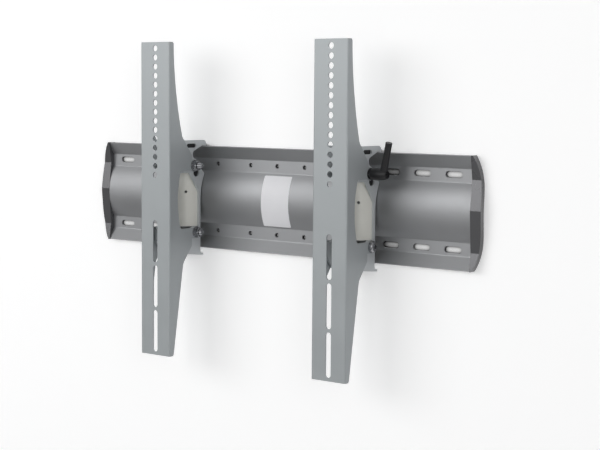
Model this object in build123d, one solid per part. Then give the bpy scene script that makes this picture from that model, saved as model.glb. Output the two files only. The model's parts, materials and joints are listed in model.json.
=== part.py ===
from build123d import *

import os
from math import asin, atan2, cos, degrees, hypot, pi, radians, sin, sqrt, tan

# Tilting wall bracket for a flat screen.
# The origin is the centre of the wall plate, on the wall plane: X along the plate, Y into the wall, Z up.
# All sizes are in millimetres.

# Wall plate, one rolled sheet
PLATE_LENGTH = 631.5
PLATE_HEIGHT = 148.0
PLATE_SHEET = 2.5
PLATE_BEND = 3.0
BULGE_DEPTH = 12.3
BULGE_HEIGHT = 76.0
LIP_HEIGHT = 17.0
LIP_ANGLE = 28.0

# Holes in the wall plate's two bands
BAND_ROW = 48.3
WALL_SLOT_LENGTH = 26.0
WALL_SLOT_WIDTH = 8.7
WALL_SLOT_PITCH = 47.6
WALL_SLOT_COUNT = 3
WALL_SLOT_EDGE = 29.75
STUD_HOLE = 6.5
STUD_HOLE_PLACES = (0.0, 47.5, 107.5)

# End caps, whose bow is given by its corner, two places on its shoulder and its middle
CAP_BACK_BOW = ((1.2, 74.0), (6.6, 64.0), (12.0, 47.0), (12.4, 0.0))
CAP_FRONT_BOW = ((2.6, 74.0), (9.2, 62.0), (13.6, 45.0), (16.0, 0.0))
CAP_WALL = 2.5
CAP_PROUD = 0.4
CAP_UPPER_HOLLOW = 4.5
CAP_UPPER_HOLLOW_Z = 43.0
CAP_LOWER_HOLLOW = 3.6
CAP_LOWER_HOLLOW_Z = -50.0
CAP_RIDGE_Z = 4.0
CAP_SPIGOT_LENGTH = 16.0
CAP_SPIGOT_WALL = 2.0
CAP_FIT = 0.3

# Where the two brackets hang
LEFT_X = -155.5
RIGHT_X = 149.0
BRACKET_DROP = 2.0
STANDOFF = 84.0

# Vertical bracket, one folded channel
CHANNEL_HEIGHT = 444.5
CHANNEL_WIDTH = 54.7
CHANNEL_SHEET = 2.0
CHANNEL_BEND = 0.3
END_DEPTH = 8.7
UPPER_WAIST = (14.4, 150.0)
UPPER_KNEE = (27.0, 89.6)
UPPER_HIP = (48.5, 62.0)
LOWER_KNEE = (29.3, -91.2)
LOWER_HIP = (48.0, -66.8)
KNEE_RADIUS = 14.0
END_RADIUS = 3.0
WINDOW_FRONT = 17.5
WINDOW_TOP = 41.0
WINDOW_BOTTOM = -41.5
WINDOW_CORNER = 4.0
WINDOW_BOW = 6.3
EAR_RADIUS = 8.5

# Screen fixing holes in the flange
SCREEN_HOLE = 8.5
SCREEN_PITCH = 12.7
SCREEN_HOLE_COUNT = 15
SCREEN_HOLE_EDGE = 8.9
SCREEN_SLOT_LENGTH = 60.0
SCREEN_SLOT_PITCH = 64.35
SCREEN_SLOT_COUNT = 3
SCREEN_SLOT_EDGE = 4.6

# Pivot and tilt bolts
BOLT = 8.0
BOLT_DEPTH = 57.0
PIVOT_DROP = 48.0
TILT_RADIUS = 96.0
TILT_LEAD = 3.8
TILT_FORWARD = 15.0
RUNNING_FIT = 0.05
SLOT_FIT = 0.3

# Hook plates and the nose shell between them
HOOK_SHEET = 3.0
HOOK_GAP = 0.85
HOOK_SEAT = 0.3
HOOK_BEARING = 0.6
STRIP_GAP = 2.0
ARM_HEIGHT = 8.2
ARM_WALL_GAP = 2.0
ARM_CORNER = 6.0
TOOTH_DEPTH = 5.0
TOOTH_GAP = 0.8
HOOK_FRONT = 37.5
STRIP_WIDTH = 3.6
STRIP_START = 7.3
LOBE_HEIGHT = 36.0
LOBE_SHOULDER = 23.5
TOE_DROP = 7.5
TOE_THICKNESS = 3.4
TOE_LENGTH = 6.3
TOE_RADIUS = 3.5
LOCK_SLOT_LENGTH = 20.0
LOCK_SLOT_WIDTH = 6.0
LOCK_SLOT_AHEAD = 34.0
DROP_HOLE = 12.0
DROP_BACK = 7.2
DROP_DOWN = 10.5
NOSE_SHEET = 2.0
NOSE_TOP = 35.0
NOSE_BOTTOM = -42.0
NOSE_HOLE = 4.0
NOSE_HOLE_ANGLES = (-40.5, 34.2)
NOSE_HOLE_Z = 7.8

# Fasteners
WASHER = 16.0
WASHER_THICKNESS = 1.6
LEVER_WASHER = 15.6
NUT_FLATS = 13.0
NUT_HEIGHT = 6.5
FRICTION_THICKNESS = 0.75
SLEEVE = 12.0
HEAD = 15.6
HEAD_HEIGHT = 4.6
SOCKET_FLATS = 6.0
SOCKET_DEPTH = 2.8
THREAD_ROOT = 6.7
PIVOT_STUB = 3.0
TILT_STUB = 7.0

# Clamping lever
COLLAR = 13.5
COLLAR_HEIGHT = 1.0
NECK = 10.0
TOOTH_COUNT = 16
TOOTH_TIP = 11.6
TOOTH_ROOT = 10.2
TOOTHED_START = 5.2
TOOTHED_LENGTH = 4.3
TOOTH_FIT = 0.15
HUB = 16.2
HUB_BASE = 14.8
HUB_END = 11.4
HUB_LENGTH = 24.6
HUB_EDGE = 0.8
HUB_SHOULDER = 2.0
CHAMBER = 9.4
LEVER_LIFT = 4.5
LEVER_LEAN = 8.0
ARM_TIP_HEIGHT = 42.3
ARM_TIP_OUT = 30.5
ARM_ROOT_OUT = 18.1
ARM_ROOT_WIDTH = 11.4
ARM_WAIST_WIDTH = 9.0
ARM_TIP_WIDTH = 9.2
ARM_TIP_EDGE = 0.8
CAP_SCREW = 4.0
CAP_SCREW_HEAD = 8.0
CAP_SCREW_HEAD_HEIGHT = 2.4
CAP_SCREW_SUNK = 1.0
SPRING_WIRE = 0.7
SPRING_TURNS = 3
SPRING_FIT = 0.1

# Worked out from the sizes above
HALF_PLATE = PLATE_HEIGHT / 2
HALF_CHANNEL = CHANNEL_WIDTH / 2
WEB_INSIDE = HALF_CHANNEL - CHANNEL_SHEET
HOOK_OUTSIDE = WEB_INSIDE - HOOK_GAP
HOOK_INSIDE = HOOK_OUTSIDE - HOOK_SHEET
BULGE_RISE = BULGE_DEPTH - PLATE_SHEET
BULGE_RADIUS = ((BULGE_HEIGHT / 2) ** 2 + BULGE_RISE**2) / (2 * BULGE_RISE)
BULGE_CENTRE = BULGE_RADIUS - BULGE_DEPTH
LIP_TAN = tan(radians(LIP_ANGLE))
LIP_BACK = -LIP_HEIGHT * LIP_TAN
LIP_FRONT = LIP_BACK - PLATE_SHEET * cos(radians(LIP_ANGLE))
PLATE_FRONT = min(LIP_FRONT, -BULGE_DEPTH)
BOLT_Y = BOLT_DEPTH - STANDOFF
TILT_Y = BOLT_Y - TILT_LEAD
PIVOT_Z = -BRACKET_DROP - PIVOT_DROP
TILT_RISE = sqrt(TILT_RADIUS**2 - TILT_LEAD**2)
TILT_Z = PIVOT_Z + TILT_RISE
PIVOT = (BOLT_Y, PIVOT_Z)
TILT = (TILT_Y, TILT_Z)
WEB_BOLTS = ((BOLT_DEPTH, -PIVOT_DROP), (BOLT_DEPTH - TILT_LEAD, TILT_RISE - PIVOT_DROP))
STRIP_BACK = PLATE_FRONT - STRIP_GAP
NOSE_RADIUS = HOOK_INSIDE
NOSE_BACK = STRIP_BACK - 1.0
NOSE_CENTRE = STRIP_BACK - STRIP_WIDTH
HUB_START = HALF_CHANNEL + WASHER_THICKNESS


def nearest(shape, points):
    """The shape's vertices that lie nearest to the given points."""
    return [min(shape.vertices(), key=lambda v: (v.center() - Vector(*p)).length) for p in points]


def in_side_view(sketch, low, high):
    """A solid from a sketch in the Y and Z directions, between two places along X."""
    return extrude(Plane.YZ.offset(low) * sketch, high - low)


def ring(outer, inner, low, high, y, z):
    """A round disc with a hole along X, between two places along X."""
    return in_side_view(Pos(y, z) * (Circle(outer / 2) - Circle(inner / 2)), low, high)


def rod(diameter, low, high, y, z):
    return in_side_view(Pos(y, z) * Circle(diameter / 2), low, high)


def plate_section():
    """The rolled section: slanted lips, flat bands and a bulge, with rounded bends."""
    front_root = HALF_PLATE - LIP_HEIGHT - PLATE_SHEET * tan(radians(LIP_ANGLE / 2))
    lip_corner = HALF_PLATE - PLATE_SHEET * sin(radians(LIP_ANGLE))
    bulge_back = sqrt((BULGE_RADIUS - PLATE_SHEET) ** 2 - BULGE_CENTRE**2)
    inside = [(-PLATE_SHEET, BULGE_HEIGHT / 2), (-PLATE_SHEET, front_root)]
    edge = [(LIP_FRONT, lip_corner), (LIP_BACK, HALF_PLATE)]
    outside = [(0, HALF_PLATE - LIP_HEIGHT), (0, bulge_back)]
    upper = inside + edge + outside
    lower = [(y, -z) for y, z in reversed(upper)]
    outline = Polyline(*upper)
    outline += ThreePointArc(upper[-1], (PLATE_SHEET - BULGE_DEPTH, 0), lower[0])
    outline += Polyline(*lower)
    outline += ThreePointArc(lower[-1], (-BULGE_DEPTH, 0), upper[0])
    section = make_face(outline)
    for corners, radius in ((inside, PLATE_BEND), (outside, PLATE_BEND + PLATE_SHEET)):
        both = [(y, z, 0) for y, z in corners] + [(y, -z, 0) for y, z in corners]
        section = fillet(nearest(section, both), radius)
    return section


def make_wall_plate():
    half = PLATE_LENGTH / 2
    plate = in_side_view(plate_section(), -half, half)
    slot = extrude(Plane.XZ * SlotOverall(WALL_SLOT_LENGTH, WALL_SLOT_WIDTH), PLATE_SHEET + 1, both=True)
    hole = extrude(Plane.XZ * Circle(STUD_HOLE / 2), PLATE_SHEET + 1, both=True)
    for side in (-1, 1):
        for row in (-BAND_ROW, BAND_ROW):
            for i in range(WALL_SLOT_COUNT):
                plate -= Pos(side * (half - WALL_SLOT_EDGE - i * WALL_SLOT_PITCH), 0, row) * slot
            for place in STUD_HOLE_PLACES:
                plate -= Pos(side * place, 0, row) * hole
    return plate


def cap_outline(bow, inset):
    """The cap seen from the front, bowed outwards, with its bow and its ends set in."""
    half = [(x - inset, z * (1 - inset / HALF_PLATE)) for x, z in bow]
    rim = half + [(x, -z) for x, z in reversed(half[:-1])]
    top = half[0][1]
    return make_face(Spline(*rim) + Polyline(rim[-1], (-inset, -top), (-inset, top), rim[0]))


def cap_body(inset):
    """The cap's bow, which leans outwards from the wall to the front, a little deeper than the cap."""
    back = Plane.XZ.offset(-1) * cap_outline(CAP_BACK_BOW, inset)
    front = Plane.XZ.offset(1 + CAP_PROUD - PLATE_FRONT) * cap_outline(CAP_FRONT_BOW, inset)
    return loft([back, front], ruled=True)


def cap_front(back):
    """Everything behind the cap's zigzag front, which echoes the plate's section, from a place along X."""
    top = HALF_PLATE + 1
    front = PLATE_FRONT - CAP_PROUD + back
    zigzag = [
        (front, top),
        (front + CAP_UPPER_HOLLOW, CAP_UPPER_HOLLOW_Z),
        (front, CAP_RIDGE_Z),
        (front + CAP_LOWER_HOLLOW, CAP_LOWER_HOLLOW_Z),
        (front, -top),
    ]
    return in_side_view(make_face(Polyline(*zigzag, (0, -top), (0, top), close=True)), back, 2 * CAP_FRONT_BOW[-1][0])


def cap_spigot():
    """An arched tongue that fits up behind the bulge."""
    outer = BULGE_RADIUS - PLATE_SHEET - CAP_FIT
    tongue = Pos(BULGE_CENTRE, 0) * (Circle(outer) - Circle(outer - CAP_SPIGOT_WALL))
    tongue &= Pos(-BULGE_DEPTH / 2 - CAP_FIT, 0) * Rectangle(BULGE_DEPTH, BULGE_HEIGHT)
    return in_side_view(tongue, -CAP_SPIGOT_LENGTH, CAP_WALL)


def make_end_cap():
    """The right cap, with the plate's end at X = 0."""
    outside = cap_body(0) & cap_front(0)
    hollow = cap_body(CAP_WALL) & cap_front(CAP_WALL)
    return outside - hollow + cap_spigot()


def channel_section():
    """The folded section seen from above, with the flange's front at Y = 0."""
    depth = BOLT_DEPTH + EAR_RADIUS + 1
    outside = Pos(0, depth / 2) * Rectangle(CHANNEL_WIDTH, depth)
    inside = Pos(0, depth / 2 + CHANNEL_SHEET) * Rectangle(2 * WEB_INSIDE, depth)
    corners = [(HALF_CHANNEL, 0, 0), (-HALF_CHANNEL, 0, 0)]
    outside = fillet(nearest(outside, corners), CHANNEL_BEND + CHANNEL_SHEET)
    corners = [(WEB_INSIDE, CHANNEL_SHEET, 0), (-WEB_INSIDE, CHANNEL_SHEET, 0)]
    return outside - fillet(nearest(inside, corners), CHANNEL_BEND)


def channel_side():
    """The web seen from the side: narrow ends, two bowed edges and an ear round each bolt."""
    top = CHANNEL_HEIGHT / 2
    end = END_DEPTH
    outline = Polyline((0, -top), (0, top), (end, top))
    outline += ThreePointArc((end, top), UPPER_WAIST, UPPER_KNEE)
    outline += Polyline(UPPER_KNEE, UPPER_HIP, (UPPER_HIP[0], 0), (LOWER_HIP[0], 0), LOWER_HIP, LOWER_KNEE)
    outline += Polyline(LOWER_KNEE, (end, -top), (0, -top))
    web = make_face(outline)
    web = fillet(nearest(web, [(*UPPER_KNEE, 0), (*LOWER_KNEE, 0)]), KNEE_RADIUS)
    web = fillet(nearest(web, [(*UPPER_HIP, 0), (*LOWER_HIP, 0)]), END_RADIUS)
    web = fillet(nearest(web, [(end, top, 0), (end, -top, 0)]), END_RADIUS)
    for depth, height in WEB_BOLTS:
        reach = depth - UPPER_HIP[0] + EAR_RADIUS / 2
        web += Pos(depth, height) * Circle(EAR_RADIUS)
        web += Pos(depth - reach / 2, height) * Rectangle(reach, 2 * EAR_RADIUS)
    return web - channel_window()


def channel_window():
    """The rounded window that opens the web between its two ears, out to the back."""
    back = BOLT_DEPTH + EAR_RADIUS + 2
    middle = (WINDOW_TOP + WINDOW_BOTTOM) / 2
    front = WINDOW_FRONT + WINDOW_BOW
    outline = ThreePointArc((front, WINDOW_BOTTOM), (WINDOW_FRONT, middle), (front, WINDOW_TOP))
    outline += Polyline((front, WINDOW_TOP), (back, WINDOW_TOP), (back, WINDOW_BOTTOM), (front, WINDOW_BOTTOM))
    window = make_face(outline)
    corners = nearest(window, [(front, WINDOW_TOP, 0), (front, WINDOW_BOTTOM, 0)])
    window = fillet(corners, WINDOW_CORNER)
    for place in WEB_BOLTS:
        window -= Pos(*place) * Circle(EAR_RADIUS)
    return window


def make_channel():
    """The vertical bracket, centred on its own width and height, with its front at Y = 0."""
    top = CHANNEL_HEIGHT / 2
    channel = Pos(0, 0, -top) * extrude(channel_section(), CHANNEL_HEIGHT)
    channel &= in_side_view(channel_side(), -HALF_CHANNEL, HALF_CHANNEL)
    hole = extrude(Plane.XZ * Circle(SCREEN_HOLE / 2), CHANNEL_SHEET + 1, both=True)
    for i in range(SCREEN_HOLE_COUNT):
        channel -= Pos(0, 0, top - SCREEN_HOLE_EDGE - i * SCREEN_PITCH) * hole
    slot = extrude(Plane.XZ * Rot(0, 0, 90) * SlotOverall(SCREEN_SLOT_LENGTH, SCREEN_HOLE), CHANNEL_SHEET + 1, both=True)
    for i in range(SCREEN_SLOT_COUNT):
        middle = SCREEN_SLOT_EDGE + SCREEN_SLOT_LENGTH / 2 + i * SCREEN_SLOT_PITCH
        channel -= Pos(0, 0, middle - top) * slot
    for place in WEB_BOLTS:
        channel -= rod(BOLT + 2 * RUNNING_FIT, -HALF_CHANNEL - 1, HALF_CHANNEL + 1, *place)
    return Pos(0, -STANDOFF, -BRACKET_DROP) * channel


def lip_line(height, gap):
    """A place behind the upper lip, at a height and a clear gap from the sheet."""
    return LIP_BACK + (HALF_PLATE - height) * LIP_TAN + gap / cos(radians(LIP_ANGLE))


def bulge_line(height):
    """A place just in front of the bulge, at a height."""
    return BULGE_CENTRE - sqrt((BULGE_RADIUS + HOOK_BEARING) ** 2 - height**2)


def hook_outline():
    """The hook plate's rim: arm and tooth over the lip, throat, back along the bulge, strip and toe."""
    seat = HALF_PLATE + HOOK_SEAT
    arm_top = HALF_PLATE + ARM_HEIGHT
    tooth = HALF_PLATE - TOOTH_DEPTH
    mouth = LIP_FRONT + 1
    throat = [(mouth, seat), (mouth - 20.8, seat - 8.3), (mouth - 20.3, seat - 16.8), (mouth - 12.5, seat - 20.9)]
    bump_z = BULGE_HEIGHT / 2 - 4.5
    bump = bulge_line(bump_z)
    toe_z = -HALF_PLATE - TOE_DROP
    toe_back = STRIP_BACK + TOE_LENGTH
    toe_front = BOLT_Y - 18.0
    front = BOLT_Y - HOOK_FRONT
    strip_front = STRIP_BACK - STRIP_WIDTH
    ledge = PIVOT_Z + 5.0
    back = [
        (front + 5, arm_top),
        (-ARM_WALL_GAP, arm_top),
        (-ARM_WALL_GAP, tooth),
        (lip_line(tooth, TOOTH_GAP), tooth),
        (lip_line(seat, TOOTH_GAP), seat),
    ]
    outline = Polyline(*back, *throat, (throat[-1][0] + 6.7, throat[-1][1] - 9.9), (bump, bump_z))
    outline += ThreePointArc((bump, bump_z), (bulge_line(20) - 0.6, 20), (STRIP_BACK, 0))
    rest = [
        (STRIP_BACK, 0),
        (STRIP_BACK, toe_z),
        (toe_back, toe_z),
        (toe_back, toe_z - TOE_THICKNESS),
        (toe_front, toe_z + 0.5),
        (front + 6, PIVOT_Z - 14),
        (front + 6, ledge),
        (strip_front, ledge),
        (strip_front, STRIP_START),
        (strip_front - 20.0, LOBE_HEIGHT),
        (front, LOBE_HEIGHT),
        (front, LOBE_HEIGHT + LOBE_SHOULDER),
        back[0],
    ]
    outline += Polyline(*rest)
    plate = make_face(outline)
    rounds = (
        ([back[1]], ARM_CORNER),
        ([back[2]], 1.5),
        ([throat[1], throat[2]], 5.0),
        ([(bump, bump_z)], 2.0),
        ([(STRIP_BACK, toe_z)], TOE_RADIUS),
        ([(toe_back, toe_z - TOE_THICKNESS), (toe_back, toe_z)], 1.0),
        ([(strip_front, STRIP_START), (strip_front - 20.0, LOBE_HEIGHT)], 8.0),
        ([(front, LOBE_HEIGHT), (front, LOBE_HEIGHT + LOBE_SHOULDER), back[0]], 4.0),
        ([(front + 6, PIVOT_Z - 14), (front + 6, ledge), (toe_front, toe_z + 0.5)], 3.0),
    )
    for corners, radius in rounds:
        plate = fillet(nearest(plate, [(*corner, 0) for corner in corners]), radius)
    return plate + Pos(*PIVOT) * Circle(EAR_RADIUS)


def tilt_slot():
    """The curved slot round the pivot, with a round drop hole below its back end."""
    width = BOLT + 2 * SLOT_FIT
    path = CenterArc(PIVOT, TILT_RADIUS, 90 + degrees(asin(TILT_LEAD / TILT_RADIUS)), TILT_FORWARD)
    slot = SlotArc(path, width)
    drop = (TILT_Y + DROP_BACK, TILT_Z - DROP_DOWN)
    link = SlotCenterToCenter(hypot(DROP_BACK, DROP_DOWN), width)
    slope = degrees(atan2(-DROP_DOWN, DROP_BACK))
    slot += Pos((TILT_Y + drop[0]) / 2, (TILT_Z + drop[1]) / 2) * Rot(0, 0, slope) * link
    return slot + Pos(*drop) * Circle(DROP_HOLE / 2)


def make_hook_plate(side):
    """One hook plate, outer or inner, with its pivot hole, tilt slot and lock slot."""
    lock_z = HALF_PLATE + HOOK_SEAT
    plate = hook_outline() - Pos(*PIVOT) * Circle(BOLT / 2 + RUNNING_FIT) - tilt_slot()
    plate -= Pos(-LOCK_SLOT_AHEAD, lock_z) * SlotOverall(LOCK_SLOT_LENGTH, LOCK_SLOT_WIDTH)
    faces = sorted((side * HOOK_INSIDE, side * HOOK_OUTSIDE))
    return in_side_view(plate, *faces)


def make_nose_shell():
    """A half round sheet between the hook plates, with a small hole each side of its front."""
    radius = NOSE_RADIUS
    length = NOSE_BACK - NOSE_CENTRE
    section = Circle(radius) - Circle(radius - NOSE_SHEET)
    section &= Pos(0, -radius) * Rectangle(2 * radius, 2 * radius)
    for side in (-1, 1):
        section += Pos(side * (radius - NOSE_SHEET / 2), length / 2) * Rectangle(NOSE_SHEET, length)
    shell = Pos(0, NOSE_CENTRE, NOSE_BOTTOM) * extrude(section, NOSE_TOP - NOSE_BOTTOM)
    for angle in NOSE_HOLE_ANGLES:
        drill = Rot(0, 0, angle) * extrude(Plane.XZ * Circle(NOSE_HOLE / 2), radius + 1)
        shell -= Pos(0, NOSE_CENTRE, NOSE_HOLE_Z) * drill
    return shell


def hexagon_bar(flats, low, high, y, z):
    return in_side_view(Pos(y, z) * RegularPolygon(flats / 2, 6, major_radius=False), low, high)


def make_pivot_bolt():
    """A round headed bolt with a hexagon socket, its head on the outer side."""
    head = HALF_CHANNEL + WASHER_THICKNESS
    end = -HALF_CHANNEL - WASHER_THICKNESS - NUT_HEIGHT - PIVOT_STUB
    bolt = rod(BOLT, end + PIVOT_STUB, head, *PIVOT)
    bolt += rod(THREAD_ROOT, end, end + PIVOT_STUB, *PIVOT)
    dome = rod(HEAD, head, head + HEAD_HEIGHT, *PIVOT)
    dome = fillet(dome.edges().sort_by(Axis.X)[-1], HEAD_HEIGHT * 0.7)
    bolt += dome
    bolt = chamfer(bolt.edges().sort_by(Axis.X)[0], THREAD_ROOT * 0.1)
    top = head + HEAD_HEIGHT
    return bolt - hexagon_bar(SOCKET_FLATS, top - SOCKET_DEPTH, top + 1, *PIVOT)


def make_nut(place):
    """A hexagon nut on the inner side, its outer corners turned down."""
    face = -HALF_CHANNEL - WASHER_THICKNESS
    nut = hexagon_bar(NUT_FLATS, face - NUT_HEIGHT, face, *place)
    across = NUT_FLATS / cos(pi / 6)
    turned = rod(across, face - NUT_HEIGHT, face, *place)
    turned = chamfer(turned.edges().sort_by(Axis.X)[0], (across - NUT_FLATS) * 0.4)
    return (nut & turned) - rod(BOLT + 2 * RUNNING_FIT, face - NUT_HEIGHT - 1, face + 1, *place)


def make_washer(side, outer, place):
    """A plain washer against the outside of one web."""
    faces = sorted((side * HALF_CHANNEL, side * (HALF_CHANNEL + WASHER_THICKNESS)))
    return ring(outer, BOLT + 4 * RUNNING_FIT, *faces, *place)


def make_friction_washers():
    """A thin plastic washer inside each web, at the pivot and at the tilt bolt."""
    bore = BOLT + 4 * RUNNING_FIT
    discs = []
    for place in (PIVOT, TILT):
        discs.append(ring(WASHER, bore, WEB_INSIDE - FRICTION_THICKNESS, WEB_INSIDE, *place))
        discs.append(ring(WASHER, bore, -WEB_INSIDE, FRICTION_THICKNESS - WEB_INSIDE, *place))
    return Compound(children=discs)


def make_pivot_sleeve():
    return ring(SLEEVE, BOLT + 2 * RUNNING_FIT, -HOOK_INSIDE, HOOK_INSIDE, *PIVOT)


def toothed(tip, root):
    """A star with one tooth for each click of the lever."""
    points = []
    for i in range(2 * TOOTH_COUNT):
        radius = (tip if i % 2 else root) / 2
        angle = pi * i / TOOTH_COUNT
        points.append((radius * cos(angle), radius * sin(angle)))
    return make_face(Polyline(*points, close=True))


def make_tilt_stud():
    """The clamping stud: a plain shank, a collar and a toothed hub for the lever."""
    low = -HALF_CHANNEL - WASHER_THICKNESS - NUT_HEIGHT - TILT_STUB
    collar = HUB_START + COLLAR_HEIGHT
    teeth = HUB_START + TOOTHED_START
    end = teeth + TOOTHED_LENGTH
    stud = rod(BOLT, low + TILT_STUB, HUB_START, *TILT)
    stud += rod(THREAD_ROOT, low, low + TILT_STUB, *TILT)
    stud += rod(COLLAR, HUB_START, collar, *TILT)
    stud += rod(NECK, collar, teeth, *TILT)
    star = Rot(0, 0, LEVER_LEAN) * toothed(TOOTH_TIP, TOOTH_ROOT)
    stud += in_side_view(Pos(*TILT) * star, teeth, end)
    stud = chamfer(stud.edges().sort_by(Axis.X)[0], THREAD_ROOT * 0.1)
    return stud - rod(CAP_SCREW + 2 * RUNNING_FIT, collar + 1, end + 1, *TILT)


def lever_hub():
    """The barrel shaped hub, along X from its base, with a rounded outer end."""
    base = COLLAR_HEIGHT + TOOTH_FIT
    barrel = ThreePointArc((base, HUB_BASE / 2), (HUB_LENGTH * 0.4, HUB / 2), (HUB_LENGTH, HUB_END / 2))
    face = make_face(barrel + Polyline((HUB_LENGTH, HUB_END / 2), (HUB_LENGTH, 0), (base, 0), (base, HUB_BASE / 2)))
    face = fillet(nearest(face, [(HUB_LENGTH, HUB_END / 2, 0)]), HUB_EDGE)
    return revolve(face, Axis.X, 360)


def lever_arm():
    """The round arm that rises from the hub, leaning outwards, with a waist and a flat tip."""
    reach = hypot(ARM_TIP_OUT - ARM_ROOT_OUT, ARM_TIP_HEIGHT)
    root = (ARM_ROOT_WIDTH / 2, 0)
    tip = (ARM_TIP_WIDTH / 2, reach)
    side = ThreePointArc(root, (ARM_WAIST_WIDTH / 2, reach * 0.6), tip)
    face = make_face(side + Polyline(tip, (0, reach), (0, 0), root))
    face = fillet(nearest(face, [(*tip, 0)]), ARM_TIP_EDGE)
    lean = degrees(atan2(ARM_TIP_OUT - ARM_ROOT_OUT, ARM_TIP_HEIGHT))
    return Pos(ARM_ROOT_OUT, 0, 0) * Rot(0, lean, 0) * revolve(Plane.XZ * face, Axis.Z, 360)


def make_lever_handle():
    """The moulded lever: hub and arm, a toothed ring, a shoulder and a chamber for the spring."""
    handle = lever_hub() + lever_arm()
    ring_start = TOOTHED_START + TOOTH_FIT
    shoulder = ring_start + TOOTHED_LENGTH + TOOTH_FIT
    handle -= rod(TOOTH_TIP + 6 * TOOTH_FIT, 0, ring_start, 0, 0)
    handle -= in_side_view(toothed(TOOTH_TIP + 2 * TOOTH_FIT, TOOTH_ROOT + 2 * TOOTH_FIT), 0, shoulder)
    handle -= rod(CAP_SCREW + 1.4, 0, HUB_LENGTH, 0, 0)
    handle -= rod(CHAMBER, shoulder + HUB_SHOULDER, HUB_LENGTH + 20, 0, 0)
    return lever_place(handle)


def lever_place(shape):
    """Moves a piece of the lever from its own axis to the tilt stud, leaning forward."""
    return Pos(HUB_START, *TILT) * Rot(LEVER_LEAN, 0, 0) * shape


def make_lever_screw():
    """The retaining screw that holds the lever on the stud against its spring."""
    head_top = HUB_LENGTH - CAP_SCREW_SUNK
    head = head_top - CAP_SCREW_HEAD_HEIGHT
    screw = rod(CAP_SCREW, COLLAR_HEIGHT + 2, head, 0, 0) + rod(CAP_SCREW_HEAD, head, head_top, 0, 0)
    screw = chamfer(screw.edges().sort_by(Axis.X)[-1], 0.5)
    screw -= hexagon_bar(2.5, head_top - 1.4, head_top + 1, 0, 0)
    return lever_place(screw)


def make_lever_spring():
    """A coil between the lever's shoulder and the screw's head."""
    low = TOOTHED_START + TOOTHED_LENGTH + 2 * TOOTH_FIT + HUB_SHOULDER + SPRING_FIT
    high = HUB_LENGTH - CAP_SCREW_SUNK - CAP_SCREW_HEAD_HEIGHT - SPRING_FIT
    rise = high - low - SPRING_WIRE
    radius = (CHAMBER - SPRING_WIRE) / 2 - 3 * SPRING_FIT
    path = Helix(rise / SPRING_TURNS, rise, radius)
    wire = Plane(path @ 0, z_dir=path % 0) * RegularPolygon(SPRING_WIRE / 2, 8)
    coil = sweep(wire, path, is_frenet=True)
    return lever_place(Pos(low + SPRING_WIRE / 2, 0, 0) * Rot(0, 90, 0) * coil)


def make_bracket():
    """All the pieces of the right bracket, by name, centred on X = 0."""
    return {
        "channel": make_channel(),
        "hook_plate_outer": make_hook_plate(1),
        "hook_plate_inner": make_hook_plate(-1),
        "nose_shell": make_nose_shell(),
        "pivot_bolt": make_pivot_bolt(),
        "pivot_nut": make_nut(PIVOT),
        "pivot_washer_outer": make_washer(1, WASHER, PIVOT),
        "pivot_washer_inner": make_washer(-1, WASHER, PIVOT),
        "pivot_sleeve": make_pivot_sleeve(),
        "friction_washers": make_friction_washers(),
        "tilt_stud": make_tilt_stud(),
        "tilt_nut": make_nut(TILT),
        "tilt_washer": make_washer(-1, WASHER, TILT),
        "lever_washer": make_washer(1, LEVER_WASHER, TILT),
        "lever_handle": make_lever_handle(),
        "lever_screw": make_lever_screw(),
        "lever_spring": make_lever_spring(),
    }


def build():
    """Every node of the bracket, by name."""
    cap = make_end_cap()
    end = PLATE_LENGTH / 2
    nodes = {
        "wall_plate": make_wall_plate(),
        "end_cap_right": Pos(end, 0, 0) * cap,
        "end_cap_left": Pos(-end, 0, 0) * mirror(cap, about=Plane.YZ),
    }
    for name, piece in make_bracket().items():
        nodes["right_" + name] = Pos(RIGHT_X, 0, 0) * piece
        nodes["left_" + name] = Pos(LEFT_X, 0, 0) * mirror(piece, about=Plane.YZ)
    return nodes


def main():
    os.makedirs("parts", exist_ok=True)
    for name, shape in build().items():
        export_step(shape, "parts/" + name + ".step")


main()
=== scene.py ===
"""The looks of the tilting wall bracket: finishes, label, threads, springs, black plugs of painted shade
and the studio.
"""
import json
from math import pi, radians

import bpy
from bpy.props import FloatProperty, FloatVectorProperty, IntProperty, PointerProperty
from mathutils import Matrix, Vector


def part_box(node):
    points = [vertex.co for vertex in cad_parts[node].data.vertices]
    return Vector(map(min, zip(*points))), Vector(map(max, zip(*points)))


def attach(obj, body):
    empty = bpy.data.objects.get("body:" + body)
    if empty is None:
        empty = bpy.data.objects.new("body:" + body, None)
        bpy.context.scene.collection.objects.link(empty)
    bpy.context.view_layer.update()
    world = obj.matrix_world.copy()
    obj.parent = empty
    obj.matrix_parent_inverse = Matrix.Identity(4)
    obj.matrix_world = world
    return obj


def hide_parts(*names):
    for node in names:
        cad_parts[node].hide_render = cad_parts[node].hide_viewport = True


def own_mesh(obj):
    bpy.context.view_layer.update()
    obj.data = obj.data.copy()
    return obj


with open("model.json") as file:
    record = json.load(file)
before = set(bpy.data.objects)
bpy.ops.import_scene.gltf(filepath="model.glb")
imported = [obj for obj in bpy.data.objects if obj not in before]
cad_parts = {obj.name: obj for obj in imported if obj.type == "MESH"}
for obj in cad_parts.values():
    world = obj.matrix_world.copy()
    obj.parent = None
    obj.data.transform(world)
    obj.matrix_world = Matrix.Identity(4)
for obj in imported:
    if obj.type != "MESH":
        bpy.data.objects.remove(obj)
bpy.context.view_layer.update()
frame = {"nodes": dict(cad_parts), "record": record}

bl_info = {
    "name": "Tilting Wall Bracket",
    "version": (1, 0, 0),
    "blender": (4, 5, 0),
    "location": "View3D > Sidebar > Bracket",
    "description": "Finishes, label, threads, springs, plugs and studio for a tilting wall bracket",
    "category": "Object",
}

MM = 0.001
NODES = frame["nodes"]
SIDES = ("left", "right")

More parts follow.
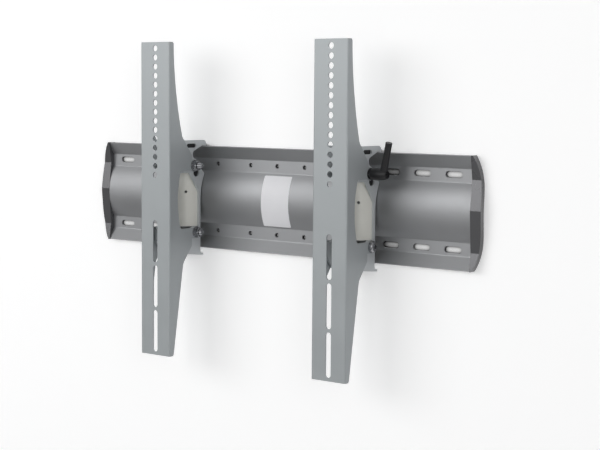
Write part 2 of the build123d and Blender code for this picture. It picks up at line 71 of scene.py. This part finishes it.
# How the pieces are made
SMOOTH_ANGLE = radians(40)
THREAD_SMOOTH_ANGLE = radians(35)
MERGE_DISTANCE = 0.001 * MM
LABEL_START = 5 * MM  # how far ahead of the plate the label is drawn before it is pressed on
LABEL_CORNER_STEPS = 6
LABEL_GAP = 0.03 * MM  # keeps the film clear of the coat below it
RIDGE_SHARE = 0.46  # half a thread ridge's foot in pitches, so that two turns never touch
PLUG_END_SHARE = 0.495  # a plug's end radius in widths, just short of closing on itself
PLUG_END_STEPS = 16
PLUG_EDGE_STEPS = 2
PLUG_EDGE_ANGLE = radians(60)

# How the finishes vary
NOISE_MIDDLE = (0.3, 0.7)  # where most of a noise pattern's values lie
COAT_PEEL = 0.03 * MM
COAT_STRENGTH = 0.2
PAINT_GRAIN_SHARE = 1.5  # a dimple of the wet paint against one of the powder

# How the studio is built
WALL_SPAN = 9.0
WALL_GAP = 0.5 * MM  # between the plate's back and the wall
# Painted shade on the wall: it is drawn darker where things stand near it, in gaps, in holes and behind
# the plate
PAINTED_SHADE_REACH = 60 * MM  # how near a thing has to be to darken the wall
PAINTED_SHADE_SAMPLES = 16
PAINTED_SHADE_INSET = 6 * MM  # how far inside the plate's edge the hidden part of the wall begins
OPEN_WALL_PAINTED_SHADE = (0.26, 0.42)  # the share of free air at which the open wall is black, and is white
HIDDEN_WALL_PAINTED_SHADE = (0.40, 0.98)  # the same behind the plate
ROOM_SIDES = (-0.1, 0.9)  # from the dim to the bright side, as a cosine
SENSOR_WIDTH = 36.0
LAMPS = {
    "key": {"place": (-1.12, -2.0, 0.64), "width": 2.1, "height": 1.0},
    "fill": {"place": (1.8, -1.7, 0.4), "width": 1.0, "height": 1.0},
    "back": {"place": (-0.9, 2.2, 1.1), "width": 1.4, "height": 1.4},
}


def linear(code):
    """The linear colour of an sRGB hex code."""
    parts = [int(code[i:i + 2], 16) / 255 for i in (0, 2, 4)]
    return tuple(p / 12.92 if p <= 0.04045 else ((p + 0.055) / 1.055) ** 2.4 for p in parts)


def middle(node):
    """The centre of a node's box."""
    low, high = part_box(node)
    return (low + high) / 2


def colour_setting(name, description, code):
    """A colour that starts at an sRGB hex code."""
    return FloatVectorProperty(
        name=name, description=description, default=linear(code), size=3, min=0.0, max=1.0, subtype="COLOR"
    )


def length_setting(name, description, value):
    """A length in metres."""
    return FloatProperty(name=name, description=description, default=value, unit="LENGTH", precision=5)


def angle_setting(name, description, value):
    """An angle that starts at a value in degrees."""
    return FloatProperty(name=name, description=description, default=radians(value), unit="ROTATION")


def power_setting(name, description, value):
    """A lamp's power in watts."""
    return FloatProperty(name=name, description=description, default=value, unit="POWER")


def level_setting(name, description, value):
    """A plain number."""
    return FloatProperty(name=name, description=description, default=value)


class FinishSettings(bpy.types.PropertyGroup):
    """Colours and grain of the bracket's finishes"""

    coat: colour_setting("Coat", "Silver powder coat of the vertical brackets", "AEB3B5")
    # The hook plates' coat is drawn paler than the brackets' coat
    hook: colour_setting("Hook plates", "Silver powder coat of the hook plates, drawn paler", "CACED0")
    # The wall plate's coat is drawn darker than the brackets' coat
    plate: colour_setting("Plate", "Silver powder coat of the wall plate, drawn darker", "A2A3A5")
    nose: colour_setting("Nose", "Pale warm grey coat of the two rounded noses", "ECEBE3")
    cap: colour_setting("Cap", "Dark grey of the moulded end caps", "606062")
    zinc: colour_setting("Zinc", "Bright zinc plating of bolts, nuts and washers", "9C9DA0")
    steel: colour_setting("Steel", "Drawn steel of sleeves and springs", "A9A9A8")
    oxide: colour_setting("Oxide", "Black oxide on hardened steel", "1B1B1D")
    nylon: colour_setting("Nylon", "Natural nylon of the friction washers", "D8D5C8")
    lever: colour_setting("Lever", "Black of the moulded levers", "1B1B1D")
    coat_grain: length_setting("Coat grain", "Width of one dimple in the powder coat", 1.4 * MM)
    mould_grain: length_setting("Mould grain", "Width of one grain of the moulded surfaces", 0.9 * MM)


class LabelSettings(bpy.types.PropertyGroup):
    """Size, place and colour of the blank label"""

    paper: colour_setting("Paper", "White of the blank label", "ECECEF")
    width: length_setting("Width", "Along the plate", 48.0 * MM)
    height: length_setting("Height", "Up and down, as seen from the front", 71.0 * MM)
    place: length_setting("Place", "Its middle, along the plate", 3.0 * MM)
    drop: length_setting("Drop", "How far its middle lies below the plate's middle", 0.6 * MM)
    slant: length_setting("Slant", "How far its top stands to the right of its foot", 2.0 * MM)
    corner: length_setting("Corner", "Radius of its corners", 1.6 * MM)
    paper_thickness: length_setting("Thickness", "Film and glue together", 0.15 * MM)
    rows: IntProperty(
        name="Rows", description="Strips up the label, which follow the bulge", default=48, min=8
    )


class ThreadSettings(bpy.types.PropertyGroup):
    """Sizes of the threads on the free bolt ends"""

    crest: length_setting("Crest", "Outer diameter of the M8 thread", 8.0 * MM)
    root: length_setting("Root", "Diameter at the foot of the thread", 6.7 * MM)
    pitch: length_setting("Pitch", "From one thread to the next", 1.25 * MM)
    facets: IntProperty(name="Facets", description="Faces round one turn", default=28, min=12)


class SpringSettings(bpy.types.PropertyGroup):
    """Travel of the levers' springs"""

    travel: length_setting("Travel", "How much a spring shortens when its handle is lifted", 4.5 * MM)


class ShadePlugSettings(bpy.types.PropertyGroup):
    """Sizes, places and colour of the black plugs, which are painted shade for the deep shade inside the
    hook plates
    """

    # The plugs' black is painted shade: it stands in for the deep shade inside the hook plates
    shade_black: colour_setting("Shade black", "Black of the plugs, painted shade", "161618")
    thickness: length_setting("Thickness", "Of a plug's flat part", 1.0 * MM)
    rounding: length_setting("Rounding", "Of a plug's edges", 0.2 * MM)
    slot_length: length_setting("Slot length", "Of the plug in a lock slot", 19.8 * MM)
    slot_width: length_setting("Slot width", "Of the plug in a lock slot", 5.8 * MM)
    slot_ahead: length_setting("Slot ahead", "From the wall to the lock slot's middle", 34.0 * MM)
    slot_up: length_setting("Slot up", "From the plate's top edge up to the lock slot's middle", 0.3 * MM)
    drop_width: length_setting("Drop width", "Of the plug in a drop hole", 11.8 * MM)
    drop_back: length_setting("Drop back", "From the tilt stud back to the drop hole's middle", 7.2 * MM)
    drop_down: length_setting("Drop down", "From the tilt stud down to the drop hole's middle", 10.5 * MM)


class StageSettings(bpy.types.PropertyGroup):
    """The camera, the wall and floor, and the light"""

    place: FloatVectorProperty(
        name="Place", description="Where the camera stands", default=(1.2313, -1.5889, 0.1494),
        size=3, unit="LENGTH",
    )
    heading: angle_setting("Heading", "Turn to the left from looking straight at the wall", 36.893)
    dip: angle_setting("Dip", "How far the camera looks down", 5.205)
    roll: angle_setting("Roll", "Lean of the camera", 0.461)
    lens: level_setting("Lens", "Focal length in millimetres, on 36 mm", 86.39)
    wall: colour_setting("Wall", "Matt white wall and floor", "CCCCCE")
    drop: length_setting("Drop", "From the plate's middle down to the floor", 1.5)
    floor: length_setting("Floor", "How far the floor reaches from the wall", 0.9)
    white: level_setting("White", "How much light the wall gives back where it is seen", 0.88)
    glow: level_setting("Glow", "Light that the wall adds where it is seen", 0.32)
    key: power_setting("Key", "Power of the main lamp", 20.0)
    fill: power_setting("Fill", "Power of the lamp beside the camera", 7.0)
    back: power_setting("Back", "Power of the lamp behind the wall", 45.0)
    bright_side: FloatVectorProperty(
        name="Bright side", description="Towards the bright side of the room",
        default=(0.25, -0.92, 0.3), size=3,
    )
    bright: level_setting("Bright", "Strength of the room's light on its bright side", 0.5)
    dim: level_setting("Dim", "Strength of the room's light on its dim side", 0.15)


def add_node(tree, kind, inputs=None, **settings):
    """Adds a node: settings are its own, and inputs are values or the sockets that feed it."""
    node = tree.nodes.new(kind)
    for name, value in settings.items():
        setattr(node, name, value)
    for name, value in (inputs or {}).items():
        if isinstance(value, bpy.types.NodeSocket):
            tree.links.new(value, node.inputs[name])
        else:
            node.inputs[name].default_value = value
    return node


def new_material(name):
    """An empty material and its output node."""
    material = bpy.data.materials.new(name)
    material.use_nodes = True
    material.node_tree.nodes.clear()
    return material, add_node(material.node_tree, "ShaderNodeOutputMaterial")


def grain(tree, size, detail=3.0, roughness=0.55):
    """Noise whose lumps are about size across, on the object's own coordinates."""
    place = add_node(tree, "ShaderNodeTexCoord").outputs["Object"]
    noise = {"Vector": place, "Scale": 1 / size, "Detail": detail, "Roughness": roughness}
    return add_node(tree, "ShaderNodeTexNoise", noise).outputs["Fac"]


def spread(tree, value, low, high):
    """A noise value's middle part spread over low to high."""
    start, end = NOISE_MIDDLE
    limits = {"Value": value, "From Min": start, "From Max": end, "To Min": low, "To Max": high}
    return add_node(tree, "ShaderNodeMapRange", limits).outputs["Result"]


def tinted(tree, colour, value, low, high):
    """A colour made a little darker and lighter by a noise value."""
    shade = add_node(tree, "ShaderNodeHueSaturation", {"Color": (*colour, 1.0)})
    tree.links.new(spread(tree, value, low, high), shade.inputs["Value"])
    return shade.outputs["Color"]


def bumped(tree, height, depth, strength):
    """A surface direction that follows a height pattern."""
    bump = {"Height": height, "Distance": depth, "Strength": strength}
    return add_node(tree, "ShaderNodeBump", bump).outputs["Normal"]


def finish(name, colour, shade=(0.98, 1.02), gloss=(0.4, 0.45), cloud=40 * MM, dimple=1 * MM,
           depth=0.02 * MM, strength=0.3, **surface):
    """A finish with soft clouds of shade and gloss, and fine dimples."""
    material, output = new_material(name)
    tree = material.node_tree
    clouds = grain(tree, cloud)
    inputs = {
        "Base Color": tinted(tree, colour, clouds, *shade),
        "Roughness": spread(tree, clouds, *gloss),
        "Normal": bumped(tree, grain(tree, dimple), depth, strength),
    }
    inputs.update(surface)
    shader = add_node(tree, "ShaderNodeBsdfPrincipled", inputs)
    tree.links.new(shader.outputs["BSDF"], output.inputs["Surface"])
    return material


def silver_powder(look, name, colour, gloss, flake):
    """Baked silver polyester powder on steel: satin, with metal flake in it and a shallow orange peel.

    The flake makes it bright where it faces a lamp and dark where it leans away from one. The real
    peel is about half a millimetre wide and is drawn coarser, so that it shows.
    """
    return finish(name, colour, gloss=gloss, dimple=look.coat_grain, depth=COAT_PEEL,
                  strength=COAT_STRENGTH, Metallic=flake)


def powder_coat(look):
    """Silver powder on the folded vertical brackets."""
    return silver_powder(look, "silver powder coat", look.coat, (0.42, 0.48), 0.25)


def hook_coat(look):
    """The same silver powder, drawn paler, on the blanked hook plates."""
    return silver_powder(look, "pale silver powder coat", look.hook, (0.42, 0.48), 0.25)


def plate_coat(look):
    """The same silver powder, drawn darker and with more flake, on the rolled plate."""
    return silver_powder(look, "dark silver powder coat", look.plate, (0.48, 0.54), 0.9)


def nose_coat(look):
    """Warm grey wet paint on thin steel: smoother and a little glossier than the powder."""
    return finish("warm grey paint", look.nose, gloss=(0.36, 0.42),
                  dimple=look.coat_grain * PAINT_GRAIN_SHARE, depth=0.02 * MM, strength=0.2)


def cap_plastic(look):
    """Moulded grey ABS with a silver tint: semi-gloss, so each facet mirrors its own part of the room."""
    return finish("moulded grey ABS", look.cap, gloss=(0.24, 0.28), dimple=look.mould_grain,
                  depth=0.01 * MM, strength=0.25, Metallic=0.5)


def zinc(look):
    """Bright zinc plating: a pale metal with a faint cloudiness from the bath."""
    return finish("zinc plating", look.zinc, shade=(0.9, 1.06), gloss=(0.18, 0.32), cloud=6 * MM,
                  dimple=0.5 * MM, depth=0.01 * MM, strength=0.3, Metallic=1.0)


def plain_steel(look):
    """Bright drawn steel, lightly oiled: a little duller and greyer than zinc."""
    return finish("drawn steel", look.steel, shade=(0.92, 1.04), gloss=(0.3, 0.42), cloud=4 * MM,
                  dimple=0.4 * MM, depth=0.01 * MM, strength=0.3, Metallic=1.0)


def black_steel(look):
    """Black oxide on steel: near black with an oily half gloss."""
    return finish("black oxide", look.oxide, shade=(0.9, 1.1), gloss=(0.32, 0.42), cloud=5 * MM,
                  dimple=0.5 * MM, depth=0.01 * MM, strength=0.3, Metallic=0.5)


def nylon(look):
    """Natural nylon 66: a milky, waxy off-white."""
    return finish("natural nylon", look.nylon, gloss=(0.38, 0.46), cloud=8 * MM, dimple=look.mould_grain)


def lever_plastic(look):
    """Glass filled nylon, moulded black: a fine even grain with a soft sheen."""
    return finish("black glass filled nylon", look.lever, shade=(0.9, 1.1), gloss=(0.36, 0.46),
                  cloud=10 * MM, dimple=look.mould_grain, depth=0.03 * MM, strength=0.4)


def label_film(look):
    """White polyester label film, semi-matt, with the faint unevenness of the glue below it."""
    return finish("white label film", look.paper, shade=(0.985, 1.01), gloss=(0.4, 0.5), cloud=20 * MM,
                  dimple=5 * MM, depth=0.02 * MM, strength=0.2)


def shade_plug_black(look):
    """Matt near black, rough enough to take most of the shine away: painted shade for the deep shade
    inside the hook plates.
    """
    return finish("black moulded rubber", look.shade_black, shade=(0.85, 1.1), gloss=(0.6, 0.72), cloud=5 * MM,
                  dimple=0.8 * MM, depth=0.01 * MM, strength=0.3)


# The first two are found by a part of the node's name, and the others by its material slot
FINISHES = {
    "wall_plate": plate_coat,
    "hook_plate": hook_coat,
    "powder_coat": powder_coat,
    "nose_coat": nose_coat,
    "cap_plastic": cap_plastic,
    "zinc": zinc,
    "plain_steel": plain_steel,
    "black_steel": black_steel,
    "nylon": nylon,
    "lever_plastic": lever_plastic,
}


def paint(piece, material):
    """Gives a piece one material all over."""
    piece.data.materials.clear()
    piece.data.materials.append(material)


def start_piece():
    """Leaves nothing selected, in object mode."""
    if bpy.context.object and bpy.context.object.mode != "OBJECT":
        bpy.ops.object.mode_set(mode="OBJECT")
    bpy.ops.object.select_all(action="DESELECT")


def edit_all():
    """Enters edit mode with the whole mesh selected."""
    bpy.ops.object.mode_set(mode="EDIT")
    bpy.ops.mesh.select_all(action="SELECT")


def apply_modifier(piece, kind, **settings):
    """Adds a modifier, sets it and applies it."""
    modifier = piece.modifiers.new(kind.title(), kind)
    for name, value in settings.items():
        setattr(modifier, name, value)
    bpy.ops.object.modifier_apply(modifier=modifier.name)


def settle_place():
    """Puts the active piece's place, turn and scale into its mesh."""
    bpy.ops.object.transform_apply(location=True, rotation=True, scale=True)


def cut_strips(low, high, count):
    """Cuts the mesh being edited by level planes."""
    for i in range(1, count):
        bpy.ops.mesh.select_all(action="SELECT")
        level = low + (high - low) * i / count
        bpy.ops.mesh.bisect(plane_co=(0, 0, level), plane_no=(0, 0, 1))


class BRACKET_OT_finishes(bpy.types.Operator):
    """Give every piece of the bracket its finish"""

    bl_idname = "bracket.finishes"
    bl_label = "Finishes"

    def execute(self, context):
        look = context.scene.bracket_finishes
        materials = {key: make(look) for key, make in FINISHES.items()}
        for part in frame["record"]["subparts"]:
            own = [key for key in materials if key in part["node"]]
            paint(NODES[part["node"]], materials[own[0] if own else part["material_slot"]])
        return {"FINISHED"}


class BRACKET_OT_label(bpy.types.Operator):
    """Stick the blank label on the bulge of the wall plate"""

    bl_idname = "bracket.label"
    bl_label = "Label"

    def execute(self, context):
        look = context.scene.bracket_label
        start = (look.place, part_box("wall_plate")[0].y - LABEL_START, -look.drop)
        start_piece()
        bpy.ops.mesh.primitive_plane_add(size=1, location=start, rotation=(pi / 2, 0, 0))
        label = bpy.context.object
        label.name = "label"
        label.scale = (look.width, look.height, 1)
        settle_place()
        edit_all()
        bpy.ops.mesh.bevel(affect="VERTICES", offset=look.corner, segments=LABEL_CORNER_STEPS)
        cut_strips(-look.drop - look.height / 2, -look.drop + look.height / 2, look.rows)
        bpy.ops.object.mode_set(mode="OBJECT")
        for point in label.data.vertices:
            point.co.x += look.slant * (point.co.z + look.drop) / look.height
        apply_modifier(label, "SHRINKWRAP", target=NODES["wall_plate"], wrap_method="PROJECT",
                       wrap_mode="ON_SURFACE", use_project_x=False, use_project_y=True,
                       use_positive_direction=True, use_negative_direction=True, offset=LABEL_GAP)
        apply_modifier(label, "SOLIDIFY", thickness=look.paper_thickness, offset=1.0)
        bpy.ops.object.shade_smooth_by_angle(angle=SMOOTH_ANGLE)
        paint(label, label_film(look))
        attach(label, "wall")
        return {"FINISHED"}


def make_thread(look, length):
    """One helical ridge along X that starts at the origin."""
    turns = int(length / look.pitch)
    depth = (look.crest - look.root) / 2
    half_foot = look.pitch * RIDGE_SHARE
    start_piece()
    bpy.ops.mesh.primitive_circle_add(
        vertices=4, radius=half_foot, location=(0, 0, look.root / 2), rotation=(pi / 2, 0, 0)
    )
    ridge = bpy.context.object
    ridge.scale = (1, depth / half_foot, 1)
    settle_place()
    apply_modifier(ridge, "SCREW", axis="X", angle=2 * pi, screw_offset=look.pitch, iterations=turns,
                   steps=look.facets, render_steps=look.facets, use_merge_vertices=True)
    edit_all()
    bpy.ops.mesh.fill_holes(sides=0)
    bpy.ops.mesh.select_all(action="SELECT")
    bpy.ops.mesh.normals_make_consistent(inside=False)
    bpy.ops.object.mode_set(mode="OBJECT")
    bpy.ops.object.shade_smooth_by_angle(angle=THREAD_SMOOTH_ANGLE)
    return ridge


class BRACKET_OT_threads(bpy.types.Operator):
    """Cut the threads on the free ends of the bolts and studs"""

    bl_idname = "bracket.threads"
    bl_label = "Threads"

    def execute(self, context):
        look = context.scene.bracket_threads
        shiny = NODES["left_pivot_bolt"].data.materials[0]
        kinds = (("pivot", "pivot_bolt", "tilt_arm"), ("tilt", "tilt_stud", "clamp"))
        for kind, bolt, rider in kinds:
            for side in SIDES:
                ends_low = side == "right"
                nut = side + "_" + kind + "_nut"
                nut_low, nut_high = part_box(nut)
                low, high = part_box(side + "_" + bolt)
                free = nut_low.x - low.x if ends_low else high.x - nut_high.x
                ridge = make_thread(look, free)
                ridge.name = side + "_" + kind + "_thread"
                start = low.x + look.pitch / 2 if ends_low else nut_high.x
                ridge.location = (start, *middle(nut).yz)
                settle_place()
                paint(ridge, shiny)
                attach(ridge, side + "_" + rider)
        return {"FINISHED"}


class BRACKET_OT_springs(bpy.types.Operator):
    """Stand a merged copy in for each lever's spring, carried by its clamp"""

    bl_idname = "bracket.springs"
    bl_label = "Springs"

    def execute(self, context):
        for side in SIDES:
            node = side + "_lever_spring"
            start_piece()
            NODES[node].select_set(True)
            context.view_layer.objects.active = NODES[node]
            bpy.ops.object.duplicate()
            spring = context.view_layer.objects.active
            spring.name = side + "_return_spring"
            edit_all()
            bpy.ops.mesh.remove_doubles(threshold=MERGE_DISTANCE)
            bpy.ops.object.mode_set(mode="OBJECT")
            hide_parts(node)
            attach(spring, side + "_clamp")
            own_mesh(spring)
        return {"FINISHED"}


def make_shade_plug(look, name, length, width, place):
    """A flat plug with round ends that lies across X at its place."""
    start_piece()
    bpy.ops.mesh.primitive_plane_add(size=1, location=place, rotation=(0, pi / 2, 0))
    plug = bpy.context.object
    plug.name = name
    plug.scale = (width, length, 1)
    settle_place()
    edit_all()
    bpy.ops.mesh.bevel(affect="VERTICES", offset=width * PLUG_END_SHARE, segments=PLUG_END_STEPS)
    bpy.ops.object.mode_set(mode="OBJECT")
    apply_modifier(plug, "SOLIDIFY", thickness=look.thickness, offset=0.0)
    apply_modifier(plug, "BEVEL", width=look.rounding, segments=PLUG_EDGE_STEPS, limit_method="ANGLE",
                   angle_limit=PLUG_EDGE_ANGLE)
    bpy.ops.object.shade_smooth_by_angle(angle=SMOOTH_ANGLE)
    return plug


class BRACKET_OT_shade_plugs(bpy.types.Operator):
    """Press black plugs in the lock slots and drop holes of the hook plates, painted shade for the deep
    shade inside them
    """

    bl_idname = "bracket.plugs"
    bl_label = "Plugs"

    def execute(self, context):
        look = context.scene.bracket_plugs
        shade_black = shade_plug_black(look)
        slot_place = (-look.slot_ahead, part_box("wall_plate")[1].z + look.slot_up)
        for side in SIDES:
            stud = middle(side + "_tilt_nut")
            drop_place = (stud.y + look.drop_back, stud.z - look.drop_down)
            centre = middle(side + "_nose_shell").x
            plugs = (
                ("lock_slot", look.slot_length, look.slot_width, slot_place),
                ("drop_hole", look.drop_width, look.drop_width, drop_place),
            )
            for layer in ("outer", "inner"):
                low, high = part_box(side + "_hook_plate_" + layer)
                inside = low.x if low.x > centre else high.x
                across = inside + look.thickness / 2 * (1 if low.x > centre else -1)
                for kind, length, width, place in plugs:
                    name = "_".join((side, layer, kind, "plug"))
                    plug = make_shade_plug(look, name, length, width, (across, *place))
                    paint(plug, shade_black)
                    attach(plug, side + "_slider")
        return {"FINISHED"}


def painted_shade_behind_plate(tree):
    """One behind the wall plate, and nought on the rest of the wall: the mask of the painted shade behind
    the plate.
    """
    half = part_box("wall_plate")[1] - PAINTED_SHADE_INSET * Vector((1, 0, 1))
    place = add_node(tree, "ShaderNodeTexCoord").outputs["Object"]
    away = add_node(tree, "ShaderNodeVectorMath", {0: place}, operation="ABSOLUTE").outputs["Vector"]
    sides = add_node(tree, "ShaderNodeSeparateXYZ", {"Vector": away}).outputs
    along = add_node(tree, "ShaderNodeMath", {0: sides["X"], 1: half.x}, operation="LESS_THAN").outputs[0]
    up = add_node(tree, "ShaderNodeMath", {0: sides["Z"], 1: half.z}, operation="LESS_THAN").outputs[0]
    return add_node(tree, "ShaderNodeMath", {0: along, 1: up}, operation="MULTIPLY").outputs[0]


def painted_wall_shade(tree, look):
    """What the wall gives back and adds where it is seen, with painted shade: least in gaps, holes and
    behind the plate, and most in free air.
    """
    air = add_node(tree, "ShaderNodeAmbientOcclusion", {"Distance": PAINTED_SHADE_REACH}, samples=PAINTED_SHADE_SAMPLES)
    hidden = painted_shade_behind_plate(tree)
    limits = {"Value": air.outputs["AO"]}
    for name, outside, inside in zip(("From Min", "From Max"), OPEN_WALL_PAINTED_SHADE, HIDDEN_WALL_PAINTED_SHADE):
        values = {0: hidden, 1: inside - outside, 2: outside}
        limits[name] = add_node(tree, "ShaderNodeMath", values, operation="MULTIPLY_ADD").outputs[0]
    return [
        add_node(tree, "ShaderNodeMapRange", {**limits, "To Max": most}).outputs["Result"]
        for most in (look.white, look.glow)
    ]


def backdrop(look):
    """Matt white paint, lit from its front only, whitest where it is looked at, with painted shade that
    darkens it in holes, gaps and behind the plate.
    """
    material, output = new_material("matt white backdrop")
    tree = material.node_tree
    path = add_node(tree, "ShaderNodeLightPath").outputs
    views = {0: path["Is Camera Ray"], 1: path["Is Glossy Ray"]}
    seen = add_node(tree, "ShaderNodeMath", views, operation="MAXIMUM").outputs[0]
    plain = add_node(tree, "ShaderNodeBsdfDiffuse", {"Color": (*look.wall, 1.0)}).outputs[0]
    shade, level = painted_wall_shade(tree, look)
    soft = add_node(tree, "ShaderNodeBsdfDiffuse", {"Color": shade}).outputs[0]
    glow = add_node(tree, "ShaderNodeEmission", {"Color": (1, 1, 1, 1), "Strength": level}).outputs[0]
    bright = add_node(tree, "ShaderNodeAddShader", {0: soft, 1: glow}).outputs[0]
    front = add_node(tree, "ShaderNodeMixShader", {"Fac": seen, 1: plain, 2: bright}).outputs[0]
    behind = add_node(tree, "ShaderNodeNewGeometry").outputs["Backfacing"]
    gaps = {0: behind, 1: path["Is Shadow Ray"]}
    open_to = add_node(tree, "ShaderNodeMath", gaps, operation="MAXIMUM").outputs[0]
    clear = add_node(tree, "ShaderNodeBsdfTransparent").outputs[0]
    mixed = add_node(tree, "ShaderNodeMixShader", {"Fac": open_to, 1: front, 2: clear}).outputs[0]
    tree.links.new(mixed, output.inputs["Surface"])
    return material


def add_lamp(name, place, width, height, power):
    """A soft box that faces the middle of the plate and isn't seen itself."""
    start_piece()
    bpy.ops.object.light_add(type="AREA", location=place)
    lamp = bpy.context.object
    lamp.name = name
    lamp.data.shape = "RECTANGLE"
    lamp.data.size = width
    lamp.data.size_y = height
    lamp.data.energy = power
    lamp.rotation_euler = (-Vector(place)).to_track_quat("-Z", "Y").to_euler()
    lamp.visible_camera = False


class BRACKET_OT_stage(bpy.types.Operator):
    """Set up the wall, floor, lamps and camera"""

    bl_idname = "bracket.stage"
    bl_label = "Stage"

    def execute(self, context):
        look = context.scene.bracket_stage
        self.add_backdrop(look)
        for name, lamp in LAMPS.items():
            add_lamp(name, **lamp, power=getattr(look, name))
        self.add_world(context.scene, look)
        self.add_camera(context.scene, look)
        context.scene.view_settings.view_transform = "Standard"
        return {"FINISHED"}

    def add_backdrop(self, look):
        """A wall just behind the plate, far larger than the view, and a narrow floor at its foot."""
        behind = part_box("wall_plate")[1].y + WALL_GAP
        material = backdrop(look)
        sheets = (
            ("studio_wall", (0, behind, WALL_SPAN / 2 - look.drop), (WALL_SPAN, WALL_SPAN), pi / 2),
            ("studio_floor", (0, behind - look.floor / 2, -look.drop), (WALL_SPAN, look.floor), 0),
        )
        for name, place, size, turn in sheets:
            start_piece()
            bpy.ops.mesh.primitive_plane_add(size=1, location=place, rotation=(turn, 0, 0))
            sheet = bpy.context.object
            sheet.name = name
            sheet.scale = (*size, 1)
            settle_place()
            paint(sheet, material)

    def add_world(self, scene, look):
        """Soft light from all round, palest from the bright side of the room.

        It is white where it is looked at, and where metal mirrors what lies behind the wall.
        """
        world = bpy.data.worlds.new("studio")
        world.use_nodes = True
        tree = world.node_tree
        tree.nodes.clear()
        way = add_node(tree, "ShaderNodeTexCoord").outputs["Generated"]
        sides = {0: way, 1: look.bright_side}
        toward = add_node(tree, "ShaderNodeVectorMath", sides, operation="DOT_PRODUCT").outputs["Value"]
        limits = {"Value": toward, "From Min": ROOM_SIDES[0], "From Max": ROOM_SIDES[1],
                  "To Min": look.dim, "To Max": look.bright}
        room = add_node(tree, "ShaderNodeMapRange", limits, interpolation_type="SMOOTHSTEP")
        depth = add_node(tree, "ShaderNodeSeparateXYZ", {"Vector": way}).outputs["Y"]
        behind = add_node(tree, "ShaderNodeMath", {0: depth, 1: 0.0}, operation="GREATER_THAN").outputs[0]
        path = add_node(tree, "ShaderNodeLightPath").outputs
        glossy = {0: path["Is Glossy Ray"], 1: behind}
        shine = add_node(tree, "ShaderNodeMath", glossy, operation="MULTIPLY").outputs[0]
        views = {0: path["Is Camera Ray"], 1: shine}
        seen = add_node(tree, "ShaderNodeMath", views, operation="MAXIMUM").outputs[0]
        levels = {0: seen, 1: room.outputs["Result"]}
        light = add_node(tree, "ShaderNodeMath", levels, operation="MAXIMUM").outputs[0]
        even = add_node(tree, "ShaderNodeBackground", {"Color": (1, 1, 1, 1), "Strength": light})
        add_node(tree, "ShaderNodeOutputWorld", {"Surface": even.outputs[0]})
        scene.world = world

    def add_camera(self, scene, look):
        """A camera at the place and angle of the settings."""
        bpy.ops.object.camera_add()
        camera = bpy.context.object
        camera.name = "camera"
        camera.data.lens = look.lens
        camera.data.sensor_width = SENSOR_WIDTH
        turn = Matrix.Rotation(look.heading, 4, "Z") @ Matrix.Rotation(pi / 2 - look.dip, 4, "X")
        camera.matrix_world = Matrix.Translation(look.place) @ turn @ Matrix.Rotation(look.roll, 4, "Z")
        scene.camera = camera


class BRACKET_PT_panel(bpy.types.Panel):
    """Lists the settings and the steps that build the bracket's looks"""

    bl_idname = "BRACKET_PT_panel"
    bl_label = "Tilting Wall Bracket"
    bl_space_type = "VIEW_3D"
    bl_region_type = "UI"
    bl_category = "Bracket"

    def draw(self, context):
        for group, step in STEPS.items():
            box = self.layout.box()
            settings = getattr(context.scene, group)
            for name in settings.bl_rna.properties.keys():
                if name not in {"rna_type", "name"}:
                    box.prop(settings, name)
            box.operator(step.bl_idname)


SETTINGS = {
    "bracket_finishes": FinishSettings,
    "bracket_label": LabelSettings,
    "bracket_threads": ThreadSettings,
    "bracket_springs": SpringSettings,
    "bracket_plugs": ShadePlugSettings,
    "bracket_stage": StageSettings,
}
STEPS = {
    "bracket_finishes": BRACKET_OT_finishes,
    "bracket_label": BRACKET_OT_label,
    "bracket_threads": BRACKET_OT_threads,
    "bracket_springs": BRACKET_OT_springs,
    "bracket_plugs": BRACKET_OT_shade_plugs,
    "bracket_stage": BRACKET_OT_stage,
}
CLASSES = (*SETTINGS.values(), *STEPS.values(), BRACKET_PT_panel)


def register():
    """Makes the settings, steps and panel known."""
    for kind in CLASSES:
        bpy.utils.register_class(kind)
    for name, kind in SETTINGS.items():
        setattr(bpy.types.Scene, name, PointerProperty(type=kind))


def unregister():
    """Takes them out again."""
    for name in SETTINGS:
        delattr(bpy.types.Scene, name)
    for kind in reversed(CLASSES):
        bpy.utils.unregister_class(kind)


def main():
    """Builds the looks step by step."""
    register()
    bpy.ops.bracket.finishes()
    bpy.ops.bracket.label()
    bpy.ops.bracket.threads()
    bpy.ops.bracket.springs()
    bpy.ops.bracket.plugs()
    bpy.ops.bracket.stage()


if __name__ == "__main__":
    main()
